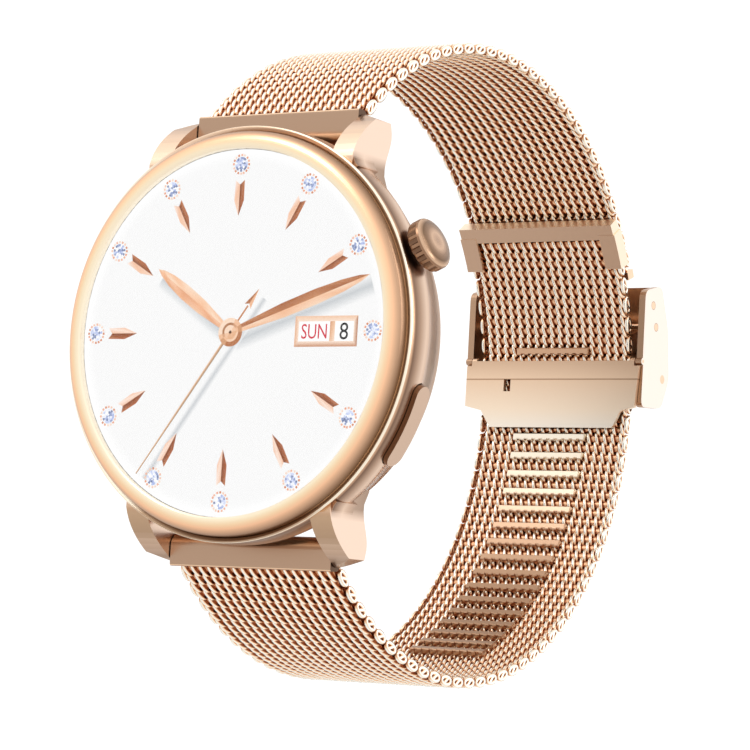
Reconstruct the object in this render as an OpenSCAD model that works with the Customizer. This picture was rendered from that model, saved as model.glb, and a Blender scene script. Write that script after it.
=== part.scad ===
// Round smartwatch on a woven mesh strap, closed as it is worn.
// The display faces -Y, twelve o'clock is +Z and the crown side is +X.
// The origin is the centre of the closed strap loop, where the wrist is.

/* [Case] */
// Diameter of the case at its front rim
case_d = 42; // [41.5:0.1:42.5]
// Distance from the loop's centre forward to the plane of the front rim
rim_y = 31.5; // [31.3:0.1:31.9]
// Depth of the case from the front rim to the back cover
case_depth = 9; // [8.9:0.1:9.4]
// Height of the crown and button axis behind the front rim
side_depth = 3.1; // [3:0.1:3.3]
// Width of each lug
lug_w = 2.5; // [2.3:0.1:2.8]

/* [Glass and display] */
// Thickness of the cover glass
glass_t = 0.7; // [0.5:0.1:0.8]
// Thickness of the display panel
display_t = 1; // [0.8:0.1:1.2]

/* [Crown] */
// Angle of the crown above three o'clock
crown_angle = 23.5; // [22:0.5:26]
// Diameter of the crown's head
crown_d = 5.3; // [5:0.1:5.6]
// Length of the crown's head
crown_len = 1.9; // [1.8:0.1:2.2]
// Number of flutes round the crown
flutes = 18; // [14:1:24]

/* [Side button] */
// Angle of the button below three o'clock
button_angle = 25; // [20:1:30]
// Length of the button along the rim
button_len = 8.6; // [7.6:0.1:9]
// Width of the button
button_w = 2.2; // [1.8:0.1:2.4]
// How far the button stands out of the case
button_out = 0.6; // [0.4:0.1:0.7]

/* [Strap] */
// Gap between the lugs, the strap's nominal width
strap_gap = 20; // [19.9:0.1:20.1]
// Thickness of the woven mesh
mesh_t = 1.3; // [1.2:0.05:1.3]
// Radius of the upper strap's middle line
upper_r = 34; // [34:0.05:34.1]
// Radius of the lower strap's middle line
lower_r = 33.25; // [33.2:0.05:33.25]
// Spacing of the bars that the locking plate bites between
notch_pitch = 2.3; // [2.2:0.1:2.6]
// Number of those bars below the buckle
notch_count = 16; // [12:1:16]

/* [Buckle] */
// Thickness of the buckle's cheeks
cheek_t = 0.8; // [0.7:0.05:0.85]
// Thickness of the locking plate
plate_t = 0.45; // [0.4:0.05:0.45]
// Thickness of the clasp cover
cover_t = 0.7; // [0.6:0.05:0.8]

/* [Hidden] */
$fn = 72;

rose_gold = "#E9C3A3";
steel = "#C9CBCF";
cut = 0.5;         // how far a cutting solid runs past the face it cuts
half_w = strap_gap / 2 - 0.1;

// Case, in its own frame: local +Z towards the viewer, 0 at the front rim
case_r = case_d / 2;
cavity_r = case_r - 3.4;
seat_r = case_r - 0.75;
seat_z = -0.9;
glass_r = case_r - 2.5;
glass_top = 1.35;
glass_bottom = glass_top - glass_t;
belly_r = case_r;
back_z = -case_depth;
cover_r = case_r - 2.75;
cover_seat_z = back_z + 0.8;
lens_r = 7.2;
screw_ring_r = cavity_r - 1.5;
screw_angles = [45, 135, 225, 315];
post_w = 2.8;
post_h = 3;
head_t = 0.35;
gasket_t = 0.2;
lug_end = 22.75;   // reach of a lug's inner corner from the centre line
fillet_r = 1.5;

// Spring bars, as [distance from the rim plane, distance from the centre line]
bar = [6.3, 21.1];
bar_clear_r = 2.3;
tube_r = 0.75;
tube_bore_r = 0.5;
tube_half = 9.5;
tip_r = 0.42;
tip_hole_r = 0.45;
tip_out = 11;
tip_len = 4;

// Crown and button, along their own radial axes
stem_r = 1;
crown_tube_r = 1.5;
crown_tube_end = belly_r;
crown_base = belly_r + 0.42;
plunger_end = 15.6;
stem_end = 16.3;
button_floor = 19.8;
button_base = 20.15;
button_stem_r = 0.5;
button_stem_y = 2.6;

// Strap loop, in the loop's frame: local x is +Y, local y is +Z, local z is +X
upper_c = 0.3;
lower_c = -0.5;
upper_start = 138;
upper_end = 26;
lower_start = -137;
lower_buckle = -4;
lower_end = 33.5;
upper_step = (upper_end - upper_start) / 4;
lower_step = (lower_buckle - lower_start) / 4;
hinge_gap = 0.06;
slab_steps = 20;
bar_y = bar[0] - rim_y;
link_r = 1.35;
link_bore_r = tube_r + 0.05;
hook_t = 0.8;
hook_end = 17.6;
notch_half = 4.7;
notch_t = 0.5;
notch_w = 0.7;     // half of the angle that a bar covers
flat_gap = 0.005;  // keeps a bar off the flats that stand for the mesh's curve
first_notch = -7.5;
inner_notch = 12.5;
keeper_end = 27.2;
keeper_band = 3.2;

// Buckle, as [distance from the loop's centre to the back, height]
cheek_in = 10.95;
plate_pivot = [31.7, 4.55];
plate_pin_r = 0.22;
cover_pivot = [36.5, 3];
cover_pin_r = 0.5;
rest_pin = [34.4, 8.8];
rest_pin_r = 0.42;
rivet = [33.5, 11.2];
plate_half = 11.5;
plate_face = 31.25;

function bezier(a, b, c, d, n = 8) =
  [for (i = [0:n]) let (t = i / n, u = 1 - t)
    u * u * u * a + 3 * u * u * t * b + 3 * u * t * t * c + t * t * t * d];

function arc(centre, r, from, to, n = 12) =
  [for (i = [0:n]) let (a = from + (to - from) * i / n) centre + r * [cos(a), sin(a)]];

// Three-point bend that rounds corner p between its neighbours a and b
function bend(a, p, b, r, n = 4) =
  let (from = p + r * (a - p) / norm(a - p), to = p + r * (b - p) / norm(b - p))
  [for (i = [0:n]) let (t = i / n)
    (1 - t) * (1 - t) * from + 2 * t * (1 - t) * p + t * t * to];

function rounded(pts, r) =
  [for (i = [0:len(pts) - 1])
    each bend(pts[(i + len(pts) - 1) % len(pts)], pts[i], pts[(i + 1) % len(pts)], r)];

module case_frame() translate([0, -rim_y, 0]) rotate([90, 0, 0]) children();

// Local z points out of the case's side, local y along the rim, local x to the back
module side_frame(angle)
  case_frame() rotate([0, 0, angle]) translate([0, 0, -side_depth]) rotate([0, 90, 0])
    children();

module loop_frame() rotate([90, 0, 90]) children();

// A plate of the given outline in the loop's plane, between two places along X
module loop_plate(from_x, to_x, pts)
  loop_frame() translate([0, 0, from_x]) linear_extrude(to_x - from_x) polygon(pts);

module loop_rod(at, r, from_x, to_x)
  loop_frame() translate([at[0], at[1], from_x]) cylinder(r = r, h = to_x - from_x);

module both_sides() {
  children();
  mirror([1, 0, 0]) children();
}

module tube(r_out, r_in, z_low, z_high) translate([0, 0, z_low]) difference() {
  cylinder(r = r_out, h = z_high - z_low);
  translate([0, 0, -cut]) cylinder(r = r_in, h = z_high - z_low + 2 * cut);
}

module disc(r, z_low, z_high) translate([0, 0, z_low]) cylinder(r = r, h = z_high - z_low);

module block(size, at) translate(at) cube(size, center = true);

// ---- Case ----

// Section of the mid-case ring: barrel wall, bead at the rim, seats for bezel and back
module case_section() polygon(concat(
  [[cavity_r, cover_seat_z], [cover_r, cover_seat_z], [cover_r, back_z]],
  bezier([cover_r + 0.35, back_z], [cover_r + 0.55, back_z + 1.4],
         [belly_r - 0.6, -side_depth - 1.9], [belly_r, -side_depth]),
  bezier([belly_r, -side_depth], [belly_r + 0.1, -side_depth + 1],
         [case_r, -1], [case_r - 0.25, -0.4]),
  arc([case_r - 0.18, -0.1], 0.18, -30, 90, 6),
  [[seat_r, -0.15], [seat_r, seat_z], [cavity_r, seat_z]]
));

// Side outline of a lug, as [distance from the centre line, height towards the viewer]
module lug_outline() polygon(concat(
  [[15, -7.2]],
  [[15, -0.45]],
  bezier([17.6, -0.45], [19.4, -1], [20.9, -2.6], [22.1, -4.6]),
  bezier([22.1, -4.6], [23.1, -5.8], [23, -6.8], [21.6, -7.1]),
  bezier([21.6, -7.1], [19.6, -7.9], [18.4, -6.1], [16.4, -6.4])
));

// A lug, with its end cut slantwise so that its inner corner reaches further
module lug() difference() {
  translate([strap_gap / 2, 0, 0]) rotate([90, 0, 90]) linear_extrude(lug_w) lug_outline();
  translate([0, 0, back_z]) linear_extrude(case_depth)
    polygon([[strap_gap / 2 - 1, lug_end + 0.35], [strap_gap / 2 + lug_w + 1, lug_end - 1.2],
      [strap_gap / 2 + lug_w + 1, lug_end + 2], [strap_gap / 2 - 1, lug_end + 2]]);
  disc(seat_r, seat_z, cut);
  disc(cavity_r + 0.5, back_z, cut);
}

// Hollow corner that eases the side of a lug into the barrel
module lug_fillet() {
  side_x = strap_gap / 2 + lug_w;
  centre = [side_x + fillet_r, sqrt(pow(case_r + 0.1 + fillet_r, 2) - pow(side_x + fillet_r, 2))];
  turn = atan2(-centre[1], -centre[0]);
  translate([0, 0, -4.4]) linear_extrude(3.7)
    polygon(concat(arc(centre, fillet_r, 180, 360 + turn, 8),
      [[side_x - 0.6, centre[1] - 2], [side_x - 0.6, centre[1]]]));
}

module across(r, half) translate([-half, 0, 0]) rotate([0, 90, 0])
  cylinder(r = r, h = 2 * half);

// Outline of the side button, a slot shape drawn as two arcs
function pill(length, width) = concat(
  arc([0, (length - width) / 2], width / 2, 0, 180),
  arc([0, -(length - width) / 2], width / 2, 180, 360));

module case_body() color(rose_gold) difference() {
  union() {
    case_frame() {
      rotate_extrude($fn = 144) case_section();
      for (side = [0, 1], end = [0, 1])
        mirror([side, 0, 0]) mirror([0, end, 0]) {
          lug();
          lug_fillet();
        }
      for (a = screw_angles) rotate([0, 0, a])
        block([post_w, post_w, post_h], [screw_ring_r + 0.5, 0, cover_seat_z + post_h / 2]);
    }
  }
  case_frame() {
    for (end = [-1, 1]) translate([0, end * bar[1], -bar[0]]) {
      across(bar_clear_r, strap_gap / 2);
      across(tip_hole_r, tip_out + 0.2);
    }
    for (a = screw_angles) rotate([0, 0, a]) translate([screw_ring_r + 0.3, 0, 0])
      disc(0.5, cover_seat_z - cut, cover_seat_z + 2.2);
  }
  side_frame(crown_angle) disc(crown_tube_r, cavity_r - 2, belly_r + 2);
  side_frame(-button_angle) {
    translate([0, 0, button_floor]) linear_extrude(3)
      polygon(pill(button_len + 0.2, button_w + 0.2));
    for (y = [-1, 1]) translate([0, y * button_stem_y, 0])
      disc(button_stem_r + 0.05, cavity_r - 2, button_floor + cut);
  }
}

module bezel_ring() color(rose_gold) case_frame() rotate_extrude($fn = 144)
  polygon(concat(
    [[glass_r - 0.45, seat_z], [seat_r, seat_z], [seat_r, 0]],
    arc([glass_r + 0.55, 0.2], 1.35, -5, 105, 14),
    [[glass_r + 0.03, glass_top], [glass_r + 0.03, glass_bottom - 0.25],
     [glass_r - 0.45, glass_bottom - 0.25]]
  ));

module cover_glass() color("#DDE6EE", 0.35) case_frame() {
  disc(glass_r, glass_bottom, glass_top - 0.12);
  translate([0, 0, glass_top - 0.12]) cylinder(r1 = glass_r, r2 = glass_r - 0.12, h = 0.12);
}

module glass_gasket() color("#202124") case_frame()
  tube(glass_r, glass_r - 0.42, glass_bottom - 0.25, glass_bottom);

module display_panel() color("#F7F7F7") case_frame()
  disc(glass_r - 0.5, glass_bottom - display_t, glass_bottom);

module display_flex() color("#B5651D") case_frame() {
  block([7, 0.15, 1.2], [0, cavity_r - 0.9, -0.95]);
  block([7, 2.2, 0.15], [0, cavity_r - 1.9, -1.5]);
}

module inner_frame() color("#3A3D42") case_frame() difference() {
  disc(cavity_r - 0.3, -2.7, -1.65);
  disc(cavity_r - 1.5, -2.7 - cut, -1.95);
  disc(2, -3.2, 0);
  block([9, 3, 2], [0, cavity_r - 1.2, -1.8]);
  // Room for the crown's stem and for the button's two stems
  rotate([0, 0, crown_angle]) block([8, 4.4, 2.4], [cavity_r - 2, 0, -2.4]);
  rotate([0, 0, -button_angle]) block([4, 9, 1.4], [cavity_r, 0, -2.7]);
}

module main_board() color("#1E5B3A") case_frame() difference() {
  disc(cavity_r - 1.7, -2.75, -1.95);
  rotate([0, 0, crown_angle]) block([8, 5, 2], [cavity_r - 2, 0, -2.6]);
  rotate([0, 0, -button_angle]) block([4, 10, 2], [cavity_r - 1.2, 0, -2.6]);
}

module shield_cans() color(steel) case_frame() {
  block([8, 7, 0.65], [-7.5, 6.5, -3.075]);
  block([6, 9, 0.65], [3, 7, -3.075]);
}

module battery() color("#6E7379") case_frame()
  translate([0, -0.5, -7.3]) linear_extrude(3.7) polygon(rounded(
    [[-9.5, -6.5], [9.5, -6.5], [9.5, 6.5], [-9.5, 6.5]], 1.5));

// Centre of the coin vibration motor
motor_at = [-5.8, -11.2];
module motor_case() color(steel) case_frame() translate(motor_at) {
  tube(4, 3.7, -6.6, -3.95);
  disc(4, -6.9, -6.6);
  disc(0.35, -6.6, -3.95);
  disc(4, -3.95, -3.75);
}

module motor_rotor() color("#9C8F7A") case_frame() translate(motor_at) difference() {
  intersection() {
    disc(3.45, -6.2, -4.35);
    union() {
      block([8, 4, 8], [0, 2, -5]);
      disc(1.1, -6.2, -4.35);
    }
  }
  disc(0.4, -7, -3.5);
}

module speaker() color("#2B2D31") case_frame() {
  block([9, 5, 2.6], [5.1, -11.2, -6.3]);
  block([6, 2.4, 0.4], [5.1, -11.2, -4.8]);
}

module microphone() color(steel) case_frame() block([2.6, 1.8, 0.8], [-9.5, 1, -3.15]);

module sensor_board() color("#1E5B3A") case_frame() {
  disc(lens_r - 0.4, -8, -7.6);
  for (a = [0, 90, 180, 270]) rotate([0, 0, a]) block([1.4, 1.4, 0.2], [3.6, 0, -8.1]);
}

module sensor_lens() color("#17181B") case_frame() {
  disc(lens_r, back_z - 0.1, cover_seat_z - 0.1);
  translate([0, 0, back_z - 0.5]) cylinder(r1 = lens_r - 1.6, r2 = lens_r, h = 0.4);
}

module charge_pins() color("#E2B64A") case_frame() for (x = [-1, 1])
  translate([x * 2, -11, 0]) {
    disc(0.8, back_z - 0.05, cover_seat_z);
    disc(1.2, cover_seat_z - gasket_t, cover_seat_z);
  }

module charge_magnets() color(steel) case_frame() for (x = [-1, 1])
  translate([x * 7, -10.8, 0]) disc(1.5, cover_seat_z - gasket_t, cover_seat_z + 0.4);

module back_cover() color("#2A2B2E") case_frame() difference() {
  disc(cover_r - 0.05, back_z, cover_seat_z - gasket_t);
  disc(lens_r, back_z - cut, cover_seat_z + cut);
  for (x = [-1, 1]) translate([x * 2, -11, 0]) disc(0.8, back_z - cut, cover_seat_z + cut);
  for (a = screw_angles) rotate([0, 0, a]) translate([screw_ring_r + 0.3, 0, 0]) {
    disc(0.65, back_z - cut, cover_seat_z + cut);
    disc(1.15, back_z - cut, back_z + head_t + 0.1);
  }
}

module back_gasket() color("#202124") case_frame()
  tube(cover_r - 0.1, cavity_r + 0.1, cover_seat_z - gasket_t, cover_seat_z);

module back_screws() color(steel) case_frame() for (a = screw_angles)
  rotate([0, 0, a]) translate([screw_ring_r + 0.3, 0, 0]) difference() {
    union() {
      disc(1.05, back_z + 0.05, back_z + head_t + 0.1);
      disc(0.5, back_z + head_t, cover_seat_z + 2);
    }
    for (t = [0, 90]) rotate([0, 0, t]) block([1.3, 0.25, 0.4], [0, 0, back_z + 0.1]);
  }

// ---- Crown ----

module crown_tube() color(steel) side_frame(crown_angle) difference() {
  disc(crown_tube_r, 17.2, crown_tube_end);
  disc(stem_r + 0.05, 17.2 - cut, crown_tube_end + cut);
  disc(stem_r + 0.42, 20.2, 20.7);
}

module crown_seal() color("#202124") side_frame(crown_angle)
  translate([0, 0, 20.45]) rotate_extrude() translate([stem_r + 0.22, 0])
    circle(r = 0.18, $fn = 24);

module crown_encoder() color("#1E5B3A") side_frame(crown_angle) {
  block([0.5, 3.2, 1.6], [-1.4, 0, 16.2]);
  block([0.35, 1.8, 1], [-1.2, 0, 16.2]);
}

module crown_switch() color(steel) side_frame(crown_angle) {
  block([2.6, 3, 0.7], [0, 0, 14.75]);
  disc(0.9, 15.1, 15.2);
}

module crown_plunger() color("#2B2D31") side_frame(crown_angle)
  disc(0.8, plunger_end, stem_end - 0.05);

module crown_stem() color(steel) side_frame(crown_angle) disc(stem_r, stem_end, crown_base + 1);

module crown_head() color(rose_gold) side_frame(crown_angle) difference() {
  translate([0, 0, crown_base]) rotate_extrude() polygon(concat(
    [[0, 0], [crown_d / 2 - 0.5, 0]],
    arc([crown_d / 2 - 0.35, 0.35], 0.35, -80, 0, 4),
    bezier([crown_d / 2, crown_len - 0.7], [crown_d / 2 - 0.1, crown_len - 0.2],
           [crown_d / 2 - 0.8, crown_len], [0, crown_len])
  ));
  for (i = [0:flutes - 1]) rotate([0, 0, 360 * i / flutes])
    translate([crown_d / 2 + 0.1, 0, 0]) disc(0.32, crown_base - cut, crown_base + crown_len - 0.75);
  disc(stem_r, crown_base - cut, crown_base + 1);
}

// ---- Side button ----

module side_button() color(rose_gold) intersection() {
  side_frame(-button_angle) difference() {
    translate([0, 0, button_base]) linear_extrude(3) polygon(pill(button_len, button_w));
    for (y = [-1, 1]) translate([0, y * button_stem_y, 0])
      disc(button_stem_r, button_base - cut, button_base + 0.6);
  }
  case_frame() disc(belly_r + button_out, -side_depth - 3, -side_depth + 3, $fn = 180);
}

module button_stems() color(steel) side_frame(-button_angle) for (y = [-1, 1])
  translate([0, y * button_stem_y, 0]) disc(button_stem_r, 16.4, button_base + 0.6);

module button_flex() color("#B5651D") side_frame(-button_angle) {
  block([1.8, 8, 0.3], [0, 0, 15.65]);
  for (y = [-1, 1]) translate([0, y * button_stem_y, 0]) disc(0.8, 15.8, 16.05);
}

// ---- Spring bars ----

module bar_tube(side) color(steel) case_frame() translate([0, side * bar[1], -bar[0]])
  difference() {
    across(tube_r, tube_half);
    across(tube_bore_r, tube_half + cut);
  }

module bar_tip(side, hand) color(steel) case_frame()
  translate([0, side * bar[1], -bar[0]]) mirror([hand < 0 ? 1 : 0, 0, 0])
    translate([tip_out - tip_len, 0, 0]) rotate([0, 90, 0]) cylinder(r = tip_r, h = tip_len);

module upper_bar_tube() bar_tube(1);
module lower_bar_tube() bar_tube(-1);
module upper_tip_left() bar_tip(1, -1);
module upper_tip_right() bar_tip(1, 1);
module lower_tip_left() bar_tip(-1, -1);
module lower_tip_right() bar_tip(-1, 1);

// ---- Strap ----

// Curved slab of the strap, between two angles round the strap's own centre
module slab(centre, r_in, r_out, half, from, to) loop_frame() translate([centre, 0, 0])
  rotate([0, 0, from]) rotate_extrude(angle = to - from, $fn = 144)
    translate([r_in, -half]) square([r_out - r_in, 2 * half]);

// One stretch of mesh: a half-round nose on its hinge, and room for the next one's nose
module mesh_stretch(centre, r, from, to, nose, last) color(rose_gold) {
  way = sign(to - from);
  end = to - (last ? 0 : way * asin((mesh_t / 2 + hinge_gap) / r));
  mid = [centre, 0];
  hinge = mid + r * [cos(from), sin(from)];
  loop_plate(-half_w, half_w, concat(
    arc(mid, r + mesh_t / 2, from, end, slab_steps),
    arc(mid, r - mesh_t / 2, end, from, slab_steps),
    nose ? arc(hinge, mesh_t / 2, from + 180 + way * 20, from + 180 + way * 160, 7) : []
  ));
}

module upper_stretch(i) mesh_stretch(upper_c, upper_r, upper_start + (i - 1) * upper_step,
  upper_start + i * upper_step, i > 1, i == 4);

module lower_stretch(i) mesh_stretch(lower_c, lower_r, lower_start + (i - 1) * lower_step,
  i == 5 ? lower_end : lower_start + i * lower_step, i > 1, i == 5);

module upper_mesh_1() upper_stretch(1);
module upper_mesh_2() upper_stretch(2);
module upper_mesh_3() upper_stretch(3);
module upper_mesh_4() upper_stretch(4);
module lower_mesh_1() lower_stretch(1);
module lower_mesh_2() lower_stretch(2);
module lower_mesh_3() lower_stretch(3);
module lower_mesh_4() lower_stretch(4);
module lower_mesh_5() lower_stretch(5);

// Folded end bar: a knuckle round the spring bar and a flat front that clamps the mesh
module end_link(side, centre, r, start) color(rose_gold) mirror([0, 0, side < 0 ? 1 : 0])
  difference() {
    inner = [centre, 0] + (r - mesh_t / 2) * [cos(start), sin(start)];
    outer = [centre, 0] + (r + mesh_t / 2) * [cos(start), sin(start)];
    face_y = bar_y - link_r;
    union() {
      loop_rod([bar_y, bar[1]], link_r, -half_w, half_w);
      loop_plate(-half_w, half_w, concat(
        [[bar_y + 0.6, bar[1] + 0.9], inner, outer],
        bend(outer, [face_y, outer[1] + 0.1], [face_y, bar[1]], 0.3),
        [[face_y, bar[1]]]
      ));
    }
    loop_rod([bar_y, bar[1]], link_bore_r, -half_w - cut, half_w + cut);
  }

module upper_end_link() end_link(1, upper_c, upper_r, upper_start);
module lower_end_link() end_link(-1, lower_c, lower_r, -lower_start);

// Flat metal tongue on the end of the upper strap, which the buckle takes in
module upper_hook() color(rose_gold) {
  slab(upper_c, upper_r - mesh_t / 2, upper_r + mesh_t / 2, half_w, upper_end - 1.6, upper_end);
  slab(upper_c, upper_r - hook_t / 2, upper_r + hook_t / 2, half_w - 0.9, hook_end, upper_end - 1.6);
}

// Bars on the inner face of the lower strap; a bar belongs to the stretch that it lies on
module notch_bar(angle) slab(lower_c, lower_r - mesh_t / 2 - notch_t,
  lower_r - mesh_t / 2 - flat_gap, notch_half, angle - notch_w, angle + notch_w);

module notch_bars(from, to) color(rose_gold) for (i = [0:notch_count - 1]) {
  angle = first_notch - i * notch_pitch / lower_r * 180 / PI;
  if (angle > from + 0.8 && angle < to - 0.8) notch_bar(angle);
}

module notch_bars_3() notch_bars(lower_start + 2 * lower_step, lower_start + 3 * lower_step);
module notch_bars_4() notch_bars(lower_start + 3 * lower_step, lower_buckle);
module notch_bars_5() color(rose_gold) notch_bar(inner_notch);

// Frame round the free end of the lower strap: a band across it and a leg along each edge
module keeper_clip() color(rose_gold) {
  r_in = lower_r - mesh_t / 2;
  r_out = lower_r + mesh_t / 2;
  slab(lower_c, r_in - 0.3, r_out - 0.05, 10.1, lower_end, lower_end + keeper_band);
  both_sides() loop_frame() translate([lower_c, 0, 0]) rotate([0, 0, keeper_end])
    rotate_extrude(angle = lower_end + 1 - keeper_end, $fn = 144) polygon([
      [r_in - 0.35, 8.2], [r_in, 8.2], [r_in, 9.95],
      [r_out + 0.1, 9.95], [r_out + 0.1, 10.25], [r_in - 0.35, 10.25]]);
}

// ---- Buckle ----

// Side outline of a cheek, with a small ear round the locking plate's pivot
cheek_pts = concat(
  rounded([[31.5, 12.7], [35.3, 13.7], [37.3, 8.9], [38.1, 3.1], [36.6, -0.4], [31.8, -0.7]],
    0.9),
  arc(plate_pivot, 0.4, 280, 100, 8)
);

module buckle_frame() color(rose_gold) difference() {
  union() {
    both_sides() {
      loop_plate(cheek_in, cheek_in + cheek_t, cheek_pts);
    }
    loop_plate(-cheek_in - 0.2, cheek_in + 0.2, [[33.8, 0.1], [34.4, 0.1], [36.3, 0.4],
      [36.2, 0.9], [34.4, 0.7], [34.4, 8], [33.8, 8]]);
  }
  loop_rod(plate_pivot, plate_pin_r, -20, 20);
  loop_rod(cover_pivot, cover_pin_r, -20, 20);
  loop_rod(rest_pin, rest_pin_r, -20, 20);
  both_sides() loop_rod(rivet, rest_pin_r, cheek_in - cut, cheek_in + cheek_t + cut);
}

// Cover's hinge pin, the tongue's rest pin, the plate's two stub pins and the rivets
module buckle_pins() color(steel) {
  outer = cheek_in + cheek_t;
  loop_rod(cover_pivot, cover_pin_r, -outer, outer);
  loop_rod(rest_pin, rest_pin_r, -outer, outer);
  both_sides() {
    loop_rod(rivet, rest_pin_r, cheek_in, outer);
    loop_rod(plate_pivot, plate_pin_r, cheek_in - 0.7, outer);
  }
}

module locking_plate() color(rose_gold) difference() {
  union() {
    translate([0, plate_face + plate_t, 0]) rotate([90, 0, 0]) linear_extrude(plate_t)
      polygon(concat(
        rounded([[-8.4, -3.15], [8.4, -3.15], [9.3, -1.2], [plate_half, -0.7]], 0.35),
        [[plate_half, 4], [cheek_in - 0.1, 4], [cheek_in - 0.1, 4.6],
         [-cheek_in + 0.1, 4.6], [-cheek_in + 0.1, 4], [-plate_half, 4]],
        [[-plate_half, -0.7], [-9.3, -1.2]]
      ));
    both_sides() loop_rod(plate_pivot, 0.42, cheek_in - 0.7, cheek_in - 0.1);
  }
  both_sides() loop_rod(plate_pivot, plate_pin_r + 0.03, cheek_in - 0.7 - cut, cheek_in);
  block([0.9, 2, 1.4], [-5.9, plate_face, 1.75]);
}

// Outer lever of the clasp: it swings out on the pin at its lower end
module clasp_cover() color(rose_gold) difference() {
  union() {
    loop_plate(-cheek_in + 0.1, cheek_in - 0.1, [[34.9, 13.5], [35.5, 13.5],
      [37.3, 8.9], [38, 3.1], [37.7, 2], [37, 2], [37.3, 3.1], [36.7, 8.7]]);
    loop_rod(cover_pivot, cover_pin_r + 0.5, -cheek_in + 0.1, cheek_in - 0.1);
  }
  loop_rod(cover_pivot, cover_pin_r + 0.05, -cheek_in - 1, cheek_in + 1);
}

case_body();
bezel_ring();
cover_glass();
glass_gasket();
display_panel();
display_flex();
inner_frame();
main_board();
shield_cans();
battery();
motor_case();
motor_rotor();
speaker();
microphone();
sensor_board();
sensor_lens();
charge_pins();
charge_magnets();
back_cover();
back_gasket();
back_screws();
crown_tube();
crown_seal();
crown_encoder();
crown_switch();
crown_plunger();
crown_stem();
crown_head();
side_button();
button_stems();
button_flex();
upper_bar_tube();
lower_bar_tube();
upper_tip_left();
upper_tip_right();
lower_tip_left();
lower_tip_right();
upper_end_link();
upper_mesh_1();
upper_mesh_2();
upper_mesh_3();
upper_mesh_4();
upper_hook();
lower_end_link();
lower_mesh_1();
lower_mesh_2();
lower_mesh_3();
lower_mesh_4();
lower_mesh_5();
notch_bars_3();
notch_bars_4();
notch_bars_5();
keeper_clip();
buckle_frame();
buckle_pins();
locking_plate();
clasp_cover();
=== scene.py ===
# Round rose gold smartwatch on a woven mesh strap, closed as it is worn.
# Metres, in the part's frame: the display faces -Y, twelve o'clock is +Z and the crown side is +X.
import math
import random

import bmesh
import bpy
import numpy as np
from mathutils import Matrix, Vector


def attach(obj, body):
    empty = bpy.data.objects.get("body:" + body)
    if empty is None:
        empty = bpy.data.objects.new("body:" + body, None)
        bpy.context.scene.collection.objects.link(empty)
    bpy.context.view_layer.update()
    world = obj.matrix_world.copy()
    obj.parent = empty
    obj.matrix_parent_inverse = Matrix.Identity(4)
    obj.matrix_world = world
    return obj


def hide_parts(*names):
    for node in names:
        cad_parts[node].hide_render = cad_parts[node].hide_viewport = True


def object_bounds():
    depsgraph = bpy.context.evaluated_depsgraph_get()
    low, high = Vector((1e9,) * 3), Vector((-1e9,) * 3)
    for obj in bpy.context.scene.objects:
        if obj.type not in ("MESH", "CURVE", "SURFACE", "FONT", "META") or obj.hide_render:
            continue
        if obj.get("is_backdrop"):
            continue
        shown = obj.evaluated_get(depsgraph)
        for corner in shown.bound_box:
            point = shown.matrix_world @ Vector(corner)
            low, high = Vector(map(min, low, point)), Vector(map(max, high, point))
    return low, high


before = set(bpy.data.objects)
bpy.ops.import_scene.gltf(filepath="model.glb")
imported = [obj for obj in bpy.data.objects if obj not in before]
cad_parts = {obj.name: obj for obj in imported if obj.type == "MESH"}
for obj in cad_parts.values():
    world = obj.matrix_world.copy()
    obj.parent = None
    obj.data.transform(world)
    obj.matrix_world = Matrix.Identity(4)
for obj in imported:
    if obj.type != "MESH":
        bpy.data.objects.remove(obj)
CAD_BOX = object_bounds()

MM = 0.001
TAU = 2 * math.pi

# The case's rim plane is at y = -RIM_Y; the lit screen lies just under the glass, in front of it
RIM_Y = 31.5
SCREEN_FRONT = 0.7
SCREEN_BACK = 0.35
SCREEN_R = 18.49
LAYER = 0.035

# Crown and button, as degrees above three o'clock
CROWN_ANGLE = 23.5
BUTTON_ANGLE = -25.0
CROWN_Y = -28.4
CROWN_TOP = 22.85

# Strap stretches in millimetres and degrees, and the strap joints' angles
UPPER = dict(centre=0.3, radius=34.0, start=138.0, end=26.0, hinges=(110.0, 82.0, 54.0))
LOWER = dict(
    centre=-0.5, radius=33.25, start=-137.0, end=33.5, hinges=(-103.75, -70.5, -37.25, -4.0)
)
UPPER_BODIES = ("upper_strap_1", "upper_strap_2", "upper_strap_3", "upper_strap_4")
LOWER_BODIES = ("lower_strap_1", "lower_strap_2", "lower_strap_3", "lower_strap_4", "clasp")

MATH, VECTOR, JOIN_XYZ = "ShaderNodeMath", "ShaderNodeVectorMath", "ShaderNodeCombineXYZ"
SPLIT_XYZ, RANGE, RAMP = "ShaderNodeSeparateXYZ", "ShaderNodeMapRange", "ShaderNodeValToRGB"
PLUS, LESS, TIMES, OVER = (
    {"operation": name} for name in ("ADD", "SUBTRACT", "MULTIPLY", "DIVIDE")
)
SIZE, UNIT, DOT = ({"operation": name} for name in ("ABSOLUTE", "NORMALIZE", "DOT_PRODUCT"))
LENGTH, MOST = {"operation": "LENGTH"}, {"operation": "MAXIMUM"}
SINE, COSINE = {"operation": "SINE"}, {"operation": "COSINE"}
COLOURS = {"data_type": "RGBA"}


def linear(code):
    """An sRGB hex colour as linear RGBA."""
    parts = [int(code[i : i + 2], 16) / 255 for i in (1, 3, 5)]
    return [c / 12.92 if c <= 0.04045 else ((c + 0.055) / 1.055) ** 2.4 for c in parts] + [1.0]


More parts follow.
